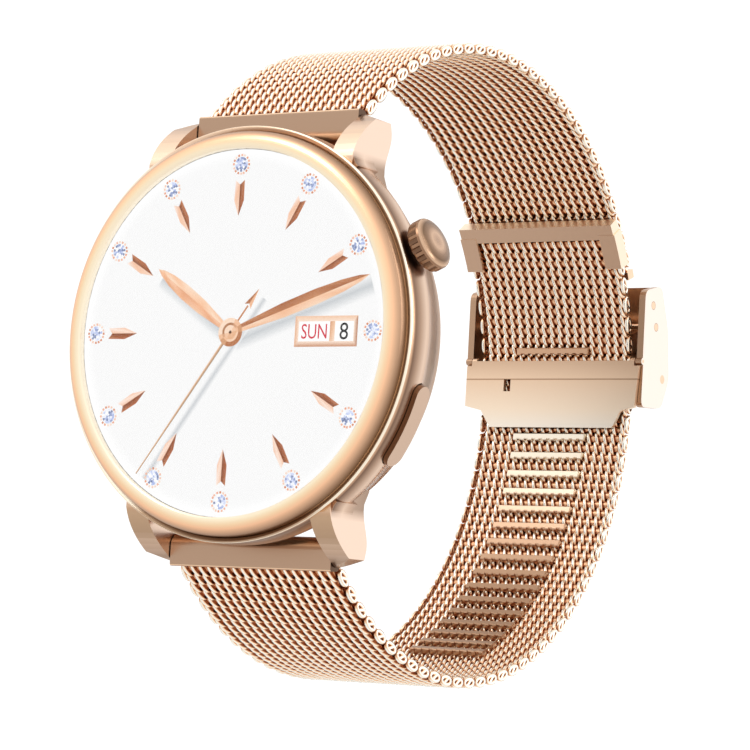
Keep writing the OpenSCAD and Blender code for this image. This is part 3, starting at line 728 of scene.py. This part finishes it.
def weave_strap(strap, prefix, bodies, finish, first_trim, last_trim):
    """Weaves one strap, a mesh for each body, with each row on the body that its angle is in."""
    way = 1 if strap["end"] > strap["start"] else -1
    start = strap["start"] + way * first_trim
    end = strap["end"] - way * last_trim
    count = 2 * round(abs(end - start) / math.degrees(ROW_PITCH / strap["radius"]) / 2)
    step = (end - start) / count
    middles = [start + (i + 0.5) * step for i in range(count)]
    done = 0
    for number, body in enumerate(bodies):
        # Each body holds an even number of rows, so that no ring spans a joint
        last = count
        if number < len(strap["hinges"]):
            last = 2 * round((strap["hinges"][number] - start) / step / 2)
        mine = middles[done:last]
        values = {
            "Rows": len(mine),
            "First Angle": math.radians(mine[0]),
            "Angle Step": math.radians(step),
            "Strap Radius": strap["radius"] * MM,
            "Centre": (0.0, strap["centre"] * MM, 0.0),
            "Turns": TURNS,
            "Column Pitch": COIL_WIDTH / TURNS * MM,
            "Reach": COIL_REACH * MM,
            "Height": COIL_HEIGHT * MM,
            "Lean": LEAN * MM,
            "Wire Radius": WIRE_R * MM,
            "Turn Steps": TURN_STEPS,
            "Wire Sides": WIRE_SIDES,
            "Core Size": (CORE_WIDTH * MM, CORE_REACH * MM, CORE_HEIGHT * MM),
            "Ring Place": RING_X * MM,
            "Ring Reach": RING_REACH * MM,
            "Finish": finish,
        }
        done = last
        mesh = grown(f"{prefix}_weave_{number + 1}", WEAVE, values)
        piece(mesh.name, mesh, finish, body, (f"{prefix}_mesh_{number + 1}",))


weave_strap(UPPER, "upper", UPPER_BODIES, UPPER_WIRE, 0.5, 0.6)
weave_strap(LOWER, "lower", LOWER_BODIES, LOWER_WIRE, 0.5, 0.6)


# ---- Notch bars, crenellated where the plate's teeth bite ----

# Millimetres; angles in degrees round the lower strap, and heights over its middle line
FIRST_BAR, INNER_BAR = -7.5, 10.2
BAR_PITCH, BAR_COUNT = 2.3, 16
BAR_HALF, BAR_COLUMNS = 4.7, 19
BAR_FOOT, BAR_FACE, BAR_CHAMFER = -0.55, -1.15, 0.1
BAR_UP, BAR_LOW, BAR_TOOTH = 0.4, 0.32, 0.44
HINGE_ROOM = 0.8


def notch_bar_mesh(angles):
    """Bars across the strap, whose lower edge steps in and out from column to column."""
    points, faces = [], []
    to_deg = math.degrees(1 / (LOWER["radius"] - 0.65))
    rings = 2 * BAR_COLUMNS
    for angle in angles:
        base = len(points)
        for k in range(rings):
            # Two rings at each column's edge, one for each column that meets there
            edge, column = (k + 1) // 2, k // 2
            x = -BAR_HALF + 2 * BAR_HALF * edge / BAR_COLUMNS
            reach = BAR_TOOTH if column % 2 == 0 else BAR_LOW
            top, bottom = angle + BAR_UP * to_deg, angle - reach * to_deg
            slope = BAR_CHAMFER * to_deg
            points += [
                strap_point(LOWER, a, out, x)
                for a, out in (
                    (top, BAR_FOOT), (top, BAR_FACE + BAR_CHAMFER), (top - slope, BAR_FACE),
                    (bottom + slope, BAR_FACE), (bottom, BAR_FACE + BAR_CHAMFER), (bottom, BAR_FOOT),
                )
            ]
        for k in range(rings - 1):
            for m in range(6):
                n = (m + 1) % 6
                a, b = base + k * 6, base + (k + 1) * 6
                faces.append((a + m, a + n, b + n, b + m))
        faces.append(tuple(base + m for m in range(6))[::-1])
        faces.append(tuple(base + (rings - 1) * 6 + m for m in range(6)))
    mesh = mesh_from("notch_bars", points, faces)
    shell = bmesh.new()
    shell.from_mesh(mesh)
    bmesh.ops.recalc_face_normals(shell, faces=shell.faces)
    shell.to_mesh(mesh)
    shell.free()
    return mesh


def notch_rows():
    step = math.degrees(BAR_PITCH / LOWER["radius"])
    bars = [FIRST_BAR - i * step for i in range(BAR_COUNT)]
    for number in (3, 4):
        low, high = LOWER["hinges"][number - 2], LOWER["hinges"][number - 1]
        held = [a for a in bars if low + HINGE_ROOM < a < high - HINGE_ROOM]
        mesh = notch_bar_mesh(held)
        body = LOWER_BODIES[number - 1]
        piece(f"notch_row_{number}", mesh, NOTCH, body, (f"notch_bars_{number}",))
    inner = notch_bar_mesh([INNER_BAR])
    piece("notch_row_5", inner, NOTCH, "clasp", ("notch_bars_5",))


notch_rows()


# ---- Picture on the screen ----


def dial(x, z, layer):
    """A place on the dial, in millimetres from its centre, as the watch is looked at."""
    return (x * MM, (-RIM_Y - SCREEN_FRONT - layer * LAYER) * MM, z * MM)


class Picture:
    """Flat shapes with a colour at each corner, stacked in layers in front of the screen."""

    def __init__(self):
        self.points, self.faces, self.tones = [], [], []

    def shape(self, corners, codes, layer):
        """One polygon; codes is one hex colour, or one for each corner."""
        if isinstance(codes, str):
            codes = [codes] * len(corners)
        area = sum(a[0] * b[1] - b[0] * a[1] for a, b in zip(corners, corners[1:] + corners[:1]))
        if area < 0:
            corners, codes = corners[::-1], codes[::-1]
        base = len(self.points)
        self.points += [dial(x, z, layer) for x, z in corners]
        self.faces.append(tuple(range(base, base + len(corners))))
        self.tones += [linear(c) for c in codes]

    def strip(self, left, right, codes, layer):
        """Quads between two edges; codes gives a pair of colours for each step."""
        for i in range(len(left) - 1):
            self.shape(
                [left[i], right[i], right[i + 1], left[i + 1]],
                [codes[i][0], codes[i][1], codes[i + 1][1], codes[i + 1][0]],
                layer,
            )

    def mesh(self, name):
        mesh = bpy.data.meshes.new(name)
        mesh.from_pydata(self.points, [], self.faces)
        layer = mesh.color_attributes.new("tone", "FLOAT_COLOR", "CORNER")
        for corner, tone in zip(layer.data, self.tones):
            corner.color = tone
        mesh.update()
        return mesh


def clock(angle, along, aside=0.0):
    """A place at a distance along a clockwise dial angle, and aside from it to its right."""
    a = math.radians(angle)
    return (along * math.sin(a) + aside * math.cos(a), along * math.cos(a) - aside * math.sin(a))


picture = Picture()
chance = random.Random(8)


# Layers of the picture, from the screen outward
SHADOW, MARKS, WINDOW, DIVIDER, LETTERS = 0.3, 1, 1.2, 1.3, 1.4
HOUR_HAND, MINUTE_HAND, SWEEP_HAND = 1.6, 1.8, 2.1
BOSS, COLLAR, CAP, PIN = 2.3, 2.5, 2.6, 2.7
FADED = "#F8F8F8"


def soft_shadow(angle, outline, shift, spread, dark):
    """A grey shadow of a hand, darkest in its middle and fading out over spread."""
    base = [clock(angle, a, b) for a, b in outline]
    for side in (1, -1):
        core = [(x + shift[0], z + shift[1]) for x, z in base]
        edge = [tuple(np.add(clock(angle, a, b + side * spread), shift)) for a, b in outline]
        if side > 0:
            picture.strip(core, edge, [(dark, FADED)] * len(core), SHADOW)
        else:
            picture.strip(edge, core, [(FADED, dark)] * len(core), SHADOW)


HOUR, MINUTE, SECOND = 304.6, 71.2, 216.6
TAIL = SECOND - 180

HAND_SHIFT, SWEEP_SHIFT = (0.55, -0.95), (0.9, -0.7)
for turn, reach, shift, spread, dark in (
    (HOUR, (0, 3, 9, 11.5), HAND_SHIFT, 1.1, "#C9CDD0"),
    (MINUTE, (0, 6, 14, 17.0), HAND_SHIFT, 1.1, "#C9CDD0"),
    (SECOND, (-5, 0, 9, 17.6), SWEEP_SHIFT, 0.45, "#CDD0D3"),
):
    soft_shadow(turn, [(a, 0) for a in reach], shift, spread, dark)

# Wedge-shaped hour marks, each with a light and a dark facet; the date window takes three o'clock
MARK_TIP, MARK_NOTCH = (11.7, 0.0), (14.9, 0.0)
MARK_WIDE, MARK_TAIL = (13.3, 0.59), (15.36, 0.55)
LIGHT_FACET = ["#FBD9C3", "#F6C6A8", "#FDEBE0", "#F3BF9D"]
DARK_FACET = ["#8E4A22", "#B5683F", "#C67F55", "#7E3F1B"]


def hour_mark(angle):
    for side in (1, -1):
        facing = side * math.cos(math.radians(angle))
        if abs(facing) > 0.1:
            bright = facing < 0
        else:
            bright = side * math.sin(math.radians(angle)) < 0
        corners = [
            clock(angle, *MARK_TIP),
            clock(angle, MARK_WIDE[0], side * MARK_WIDE[1]),
            clock(angle, MARK_TAIL[0], side * MARK_TAIL[1]),
            clock(angle, *MARK_NOTCH),
        ]
        picture.shape(corners, LIGHT_FACET if bright else DARK_FACET, MARKS)


for hour in range(12):
    if hour != 3:
        hour_mark(hour * 30.0)

# A cut stone outside each hour mark, in a ring of short grains
STONE_PLACE = 16.95
GRAIN_IN, GRAIN_OUT, GRAINS = 0.84, 1.06, 16
GRAIN_TONES = ["#F2B79C", "#EDA585", "#F7CDB6", "#D98B66", "#F9DCC9"]
FACET_RINGS = ((0.0, 0.26, 8), (0.26, 0.52, 12), (0.52, 0.76, 18))
FACET_TONES = [
    "#FFFFFF", "#EDF1FD", "#C9D4F4", "#AFBDEA", "#F4F7FF", "#98A6CF", "#FFFFFF", "#D3DCF8", "#7C88AE",
]


def stone(cx, cz):
    def spot(r, a):
        return (cx + r * math.cos(a), cz + r * math.sin(a))

    for i in range(GRAINS):
        a = TAU * i / GRAINS + chance.uniform(-0.05, 0.05)
        tone = chance.choice(GRAIN_TONES)
        corners = [
            spot(GRAIN_IN, a - 0.13), spot(GRAIN_IN, a + 0.13),
            spot(GRAIN_OUT, a + 0.11), spot(GRAIN_OUT, a - 0.11),
        ]
        picture.shape(corners, tone, MARKS)
    for inside, outside, parts in FACET_RINGS:
        for i in range(parts):
            a, b = TAU * i / parts, TAU * (i + 1) / parts
            corners = [spot(inside, a), spot(outside, a), spot(outside, b), spot(inside, b)]
            if inside == 0.0:
                corners = corners[:3]
            picture.shape(corners, chance.choice(FACET_TONES), MARKS)


for hour in range(12):
    stone(*clock(hour * 30.0, STONE_PLACE))


def rectangle(x0, x1, half):
    return [(x0, -half), (x1, -half), (x1, half), (x0, half)]


# Window with the day and the date, in a bevelled copper frame
PANE_HALF = 0.98
frame_outer, frame_inner = rectangle(7.8, 15.2, 1.52), rectangle(8.26, 14.75, PANE_HALF)
for i, code in enumerate(("#C98A63", "#B26F45", "#F3C6A4", "#E7AE86")):
    j = (i + 1) % 4
    corners = [frame_outer[i], frame_outer[j], frame_inner[j], frame_inner[i]]
    picture.shape(corners, [code, code, "#FBE3D0", "#FBE3D0"], MARKS)
picture.shape(rectangle(8.26, 11.95, PANE_HALF), "#FFFFFF", WINDOW)
picture.shape(rectangle(12.54, 14.75, PANE_HALF), "#FFFFFF", WINDOW)
DIVIDER_TONES = ["#E9B691", "#FBE0CB", "#F6CBA9", "#D89B74"]
picture.shape(rectangle(11.95, 12.54, PANE_HALF), DIVIDER_TONES, DIVIDER)

# Leaf-shaped hands with a ridge: one half light, the other coppery
LEAF = ((0.0, 0.45), (0.12, 0.62), (0.35, 0.95), (0.6, 1.0), (0.8, 0.78), (0.93, 0.42), (1.0, 0.0))
LEAF_START = 0.9


def leaf_hand(angle, length, half, layer, left_tones, right_tones):
    along = [LEAF_START + (length - LEAF_START) * share for share, _ in LEAF]
    ridge = [clock(angle, a, 0) for a in along]
    for side, codes in ((-1, left_tones), (1, right_tones)):
        edge = [clock(angle, a, side * half * width) for a, (_, width) in zip(along, LEAF)]
        shades = [(codes[i % len(codes)], codes[(i + 1) % len(codes)]) for i in range(len(LEAF))]
        near, far = (edge, ridge) if side < 0 else (ridge, edge)
        picture.strip(near, far, shades, layer)


leaf_hand(
    HOUR, 11.5, 0.8, HOUR_HAND, ["#F3B48A", "#E6A277", "#F9CBA9"], ["#FBD0AE", "#FCE0C8", "#F7BF95"]
)
leaf_hand(
    MINUTE, 17.2, 0.78, MINUTE_HAND, ["#B9764B", "#C98A5F", "#A9643A"], ["#F6C6A2", "#FBDABF", "#F2B88F"]
)

# Sweep hand with its arrow-headed tail
thin = [(1.2, 0.16), (9.0, 0.13), (17.8, 0.07)]
picture.strip(
    [clock(SECOND, a, -w) for a, w in thin],
    [clock(SECOND, a, w) for a, w in thin],
    [("#8F6A4A", "#F3C9A4")] * len(thin),
    SWEEP_HAND,
)
stem = [clock(TAIL, a, b) for a, b in ((1.2, -0.1), (3.3, -0.1), (3.3, 0.1), (1.2, 0.1))]
picture.shape(stem, "#C9885F", SWEEP_HAND)
for side, tone in ((1, "#F1B992"), (-1, "#B5744B")):
    arrow = [clock(TAIL, 5.4, 0), clock(TAIL, 3.2, side * 0.45), clock(TAIL, 3.55, 0)]
    picture.shape(arrow, tone, SWEEP_HAND)


LIT_FROM = 120.0


def disc(radius, codes, layer):
    """A round boss shaded from one side to the other."""
    sides = 32
    for i in range(sides):
        a, b = TAU * i / sides, TAU * (i + 1) / sides
        mix = 0.5 + 0.5 * math.cos(a - math.radians(LIT_FROM))
        tone = codes[min(len(codes) - 1, int(mix * len(codes)))]
        rim = [(radius * math.cos(t), radius * math.sin(t)) for t in (a, b)]
        picture.shape([(0, 0)] + rim, tone, layer)


disc(1.45, ["#B9764B", "#D39A70", "#F0BE98", "#FBDDC4"], BOSS)
disc(0.97, ["#F7CFAF", "#F0BC94", "#D7A07A", "#B37C55"], COLLAR)
disc(0.72, ["#E9B48C", "#F3C6A3", "#FADBC2"], CAP)
picture.shape([(0.2, 0), (0, 0.2), (-0.2, 0), (0, -0.2)], "#5A3723", PIN)

piece("dial_picture", picture.mesh("dial_picture"), PICTURE, "case")


def lettering(name, words, centre_x, height, stretch, code):
    """Plain lettering as a flat mesh on the screen."""
    text = bpy.data.curves.new(name, "FONT")
    text.body, text.align_x, text.align_y = words, "CENTER", "CENTER"
    text.size, text.offset, text.resolution_u = height, 0.004, 3
    carrier = bpy.data.objects.new(name + "_text", text)
    bpy.context.scene.collection.objects.link(carrier)
    bpy.context.view_layer.update()
    mesh = bpy.data.meshes.new_from_object(carrier.evaluated_get(bpy.context.evaluated_depsgraph_get()))
    bpy.data.objects.remove(carrier)
    co = np.array([v.co for v in mesh.vertices])
    co[:, :2] -= (co[:, :2].min(0) + co[:, :2].max(0)) / 2
    for v, (x, y, _) in zip(mesh.vertices, co):
        v.co = dial(centre_x + x * stretch, y, LETTERS)
    tone = mesh.color_attributes.new("tone", "FLOAT_COLOR", "CORNER")
    for item in tone.data:
        item.color = linear(code)
    mesh.update()
    piece(name, mesh, PICTURE, "case")


lettering("day_lettering", "SUN", 10.1, 2.1, 0.78, "#D4213C")
lettering("date_figure", "8", 13.62, 2.4, 0.95, "#17181A")


def screen_mesh():
    """The display panel: a thin disc whose lit face lies just under the glass."""
    sides = 96
    spokes = [(math.cos(TAU * i / sides), math.sin(TAU * i / sides)) for i in range(sides)]
    points = [
        (SCREEN_R * x * MM, y * MM, SCREEN_R * z * MM)
        for y in (-RIM_Y - SCREEN_FRONT, -RIM_Y + SCREEN_BACK)
        for x, z in spokes
    ]
    faces = [tuple(range(sides)), tuple(range(2 * sides - 1, sides - 1, -1))]
    for i in range(sides):
        j = (i + 1) % sides
        faces.append((j, i, sides + i, sides + j))
    return mesh_from("display_screen", points, faces)


piece("display_screen", screen_mesh(), SCREEN, "case", ("display_panel",))


# ---- Stage: floor, light and camera ----

FLOOR_Z = -52.0 * MM
floor_mesh = mesh_from(
    "floor",
    [(-3, -3, FLOOR_Z), (3, -3, FLOOR_Z), (3, 3, FLOOR_Z), (-3, 3, FLOOR_Z)],
    [(0, 1, 2, 3)],
)
floor = bpy.data.objects.new("floor", floor_mesh)
bpy.context.scene.collection.objects.link(floor)
paper = surface(
    "matt_white_studio_paper", drift([(0.0, "#FDFDFD"), (1.0, "#FFFFFF")], 200.0),
    (2.0, 0.05, 0.05, EVEN), Roughness=0.9
)
paper_shader = next(n for n in paper.node_tree.nodes if n.type == "BSDF_PRINCIPLED")
paper_shader.inputs["Emission Color"].default_value = linear("#FFFFFF")
paper_shader.inputs["Emission Strength"].default_value = 0.35
floor_mesh.materials.append(paper)
floor.visible_glossy = False
floor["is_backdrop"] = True


def studio_world():
    """White room, brighter above and behind the watch than in front of it and below."""
    world = bpy.data.worlds.new("white_studio")
    world.use_nodes = True
    tree = world.node_tree
    tree.nodes.clear()
    way = add_node(tree, "ShaderNodeTexCoord").outputs["Generated"]
    share = add_node(tree, VECTOR, DOT, [way, (0.5, 0.5, 0.7)]).outputs["Value"]
    room = graded(tree, share, [(-1.0, "#E9E6E4"), (0.0, "#F8F6F4"), (0.6, "#FFFFFF")])
    seen = add_node(tree, "ShaderNodeLightPath").outputs["Is Camera Ray"]
    colour = add_node(tree, "ShaderNodeMix", COLOURS, {0: seen, 6: room, 7: linear("#FFFFFF")}).outputs[2]
    shine = add_node(tree, "ShaderNodeBackground", None, {"Color": colour, "Strength": 1.12})
    add_node(tree, "ShaderNodeOutputWorld", None, {"Surface": shine})
    bpy.context.scene.world = world


studio_world()


def softbox(name, place, aim, width, height, power):
    lamp = bpy.data.lights.new(name, "AREA")
    lamp.shape, lamp.size, lamp.size_y, lamp.energy = "RECTANGLE", width, height, power
    obj = bpy.data.objects.new(name, lamp)
    bpy.context.scene.collection.objects.link(obj)
    obj.location = place
    obj.rotation_mode = "QUATERNION"
    obj.rotation_quaternion = (Vector(aim) - Vector(place)).to_track_quat("-Z", "Y")


softbox("key_softbox", (-0.15, -0.35, 0.45), (0, 0, 0), 0.25, 0.25, 0.7)
softbox("side_softbox", (0.45, 0.1, 0.2), (0, 0, 0), 0.12, 0.4, 0.4)

camera = bpy.data.cameras.new("camera")
camera.lens, camera.sensor_width = 155.84, 36.0
camera.clip_start, camera.clip_end = 0.01, 20.0
camera_object = bpy.data.objects.new("camera", camera)
bpy.context.scene.collection.objects.link(camera_object)
right, up, back = (0.83570, 0.54582, 0.06079), (0.00171, -0.11327, 0.99356), (0.54920, -0.83022, -0.09560)
camera_object.matrix_world = Matrix.Translation((0.189712, -0.2925, -0.034288)) @ Matrix(
    [[right[i], up[i], back[i]] for i in range(3)]
).to_4x4()
bpy.context.scene.camera = camera_object
bpy.context.scene.view_settings.view_transform = "Standard"
bpy.context.scene.view_settings.look = "None"

boxes = [[list(corner) for corner in box] for box in (CAD_BOX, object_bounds())]
